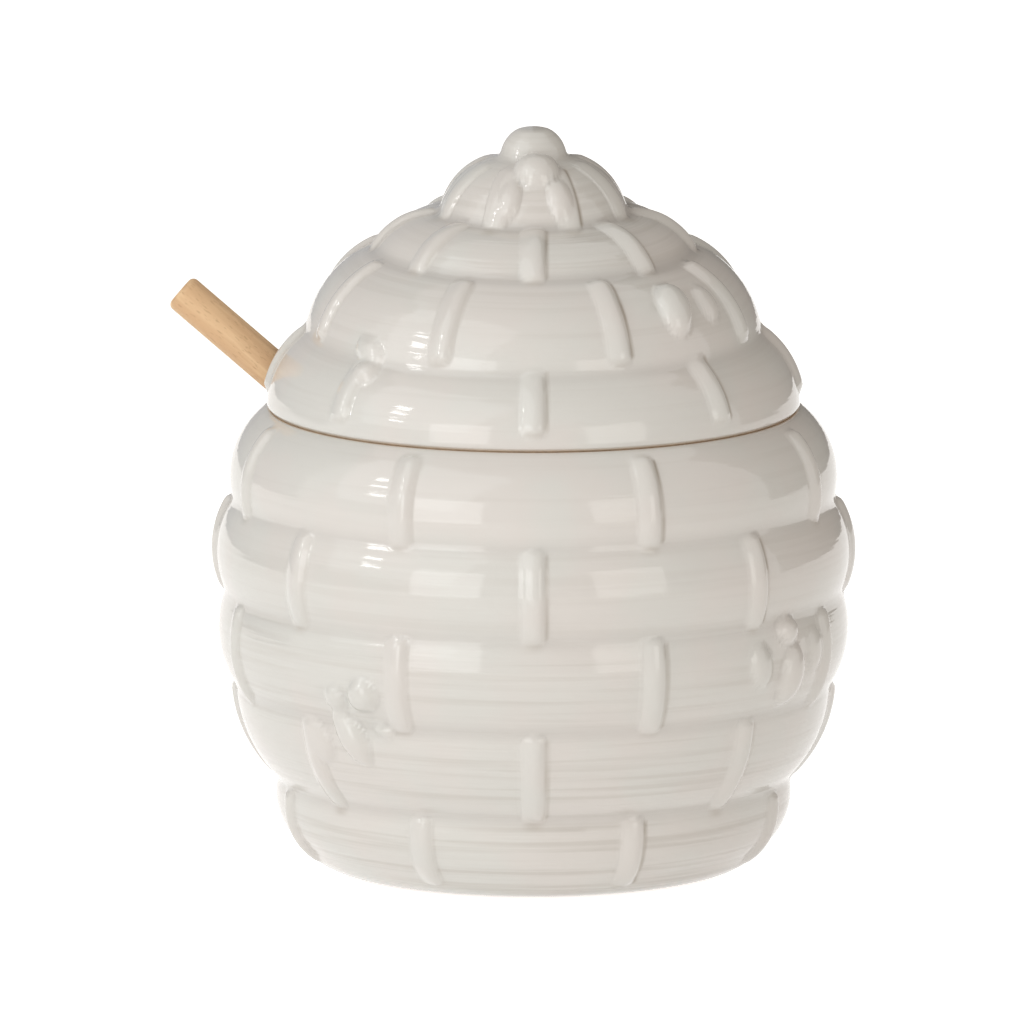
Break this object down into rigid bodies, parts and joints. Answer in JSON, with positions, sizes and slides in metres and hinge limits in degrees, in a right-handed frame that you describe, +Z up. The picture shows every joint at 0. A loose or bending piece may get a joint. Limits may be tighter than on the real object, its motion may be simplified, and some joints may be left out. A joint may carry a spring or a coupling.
{
  "type": "honey pot",
  "caption": "Honey pot shaped like a coiled straw beehive, with a domed lift-off lid notched for the wooden dipper that leans out at its side.",
  "frame": {"origin": "centre of the pot's foot, on the table", "axes": "+Z up along the pot's axis, +X to the right and +Y away from the viewer of the reference view; the dipper leans out to the left, 9 degrees behind -X"},
  "size_m": [0.1282, 0.1206, 0.1394],
  "materials": {
    "glaze": "gloss",
    "wood": "smooth, unvarnished"
  },
  "bodies": {
    "pot": {"pot": "glaze"},
    "lid": {"lid": "glaze"},
    "dipper": {"dipper_handle": "wood", "dipper_head": "wood"}
  },
  "joints": [
    {"name": "lid_lift", "type": "slide", "parent": "pot", "child": "lid", "axis": [0, 0, 1], "range_m": [0, 0.08]},
    {"name": "dipper_pull", "type": "slide", "parent": "pot", "child": "dipper", "axis": [-0.7588, 0.1202, 0.6401], "range_m": [0, 0.07]}
  ]
}
